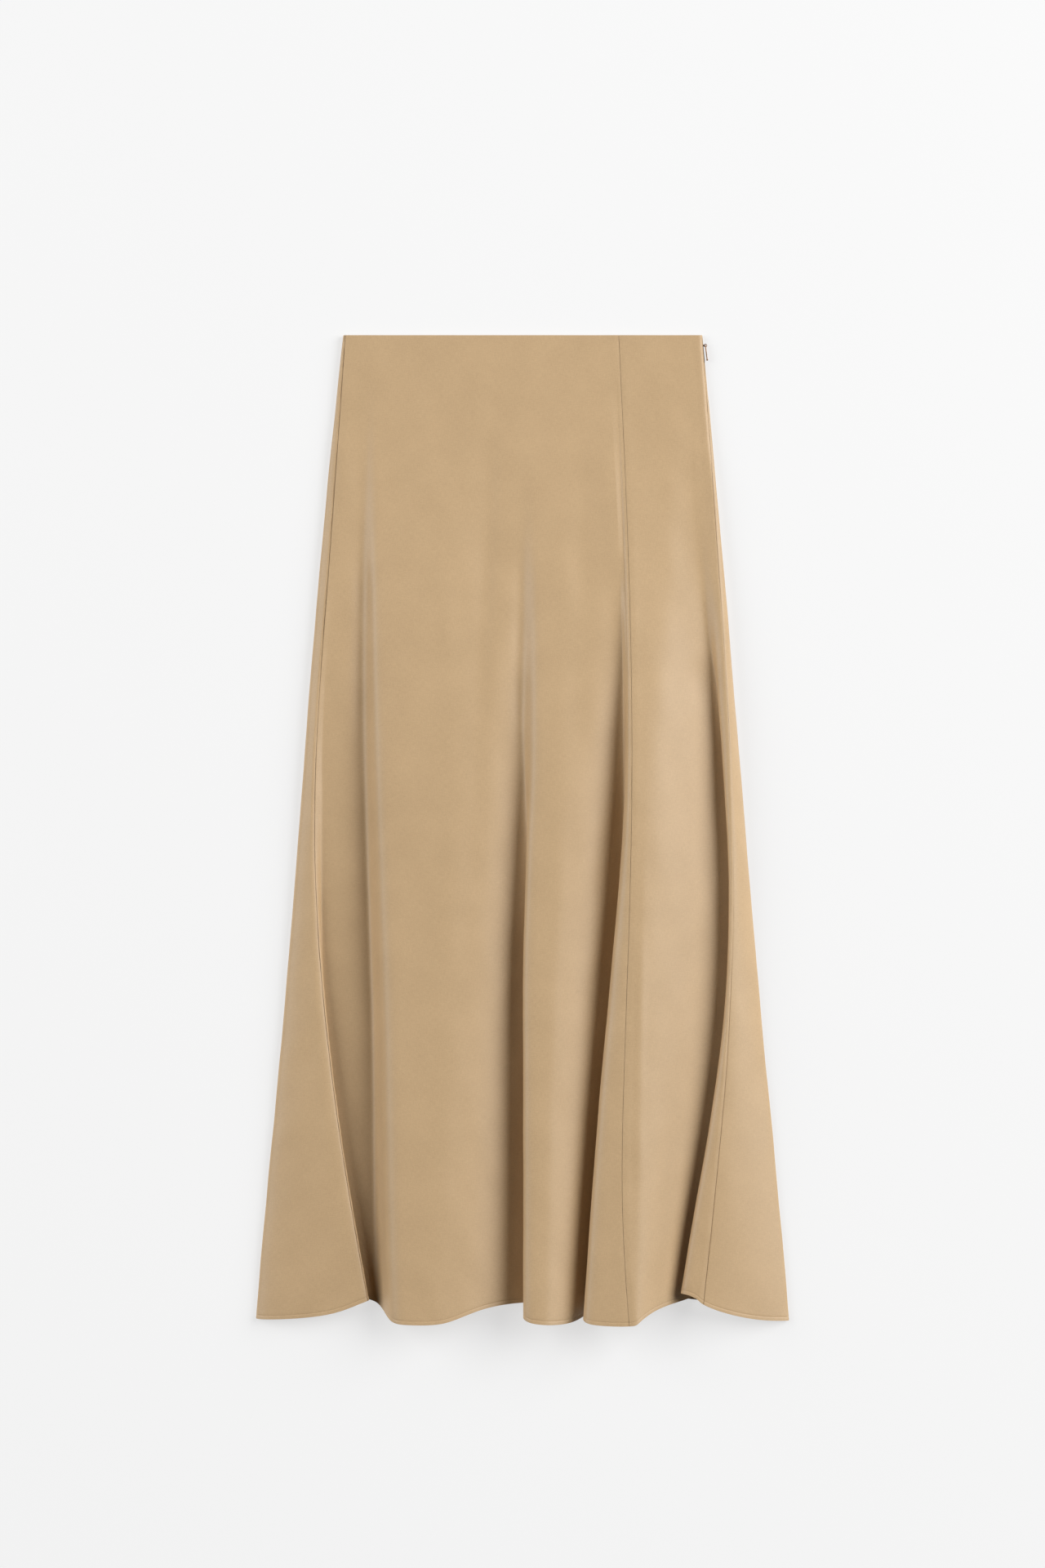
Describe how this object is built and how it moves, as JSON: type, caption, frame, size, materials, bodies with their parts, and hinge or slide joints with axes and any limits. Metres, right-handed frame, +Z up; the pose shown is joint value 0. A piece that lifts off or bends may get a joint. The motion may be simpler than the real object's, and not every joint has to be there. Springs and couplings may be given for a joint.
{
  "type": "flared midi skirt",
  "caption": "Flared midi skirt laid flat, with a faced waist, an off-centre front seam, fluted hem and a concealed side zip with a small pull.",
  "frame": {"origin": "on the surface the skirt lies on, under the middle of the laid skirt", "axes": "+Z up from the surface, +Y along the skirt toward the waist, +X to the right of a viewer looking down on the front"},
  "size_m": [0.4901, 0.9067, 0.0435],
  "materials": {
    "skirt_cloth": "smooth camel crepe with a soft satin sheen and a very fine weave",
    "zip_tape": "woven tape, matt",
    "zip_metal": "small cast metal, satin, pale gold"
  },
  "bodies": {
    "skirt": {"front_main": "skirt_cloth", "front_side": "skirt_cloth", "back": "skirt_cloth", "zip_tape": "zip_tape", "zip_slider": "zip_metal"},
    "zip_pull": {"zip_pull": "zip_metal"}
  },
  "joints": [
    {"name": "pull_swing", "type": "hinge", "parent": "skirt", "child": "zip_pull", "pos_m": [0.16796, 0.4442, 0.0031], "axis": [0, 0, 1], "range_deg": [0, 165]}
  ]
}
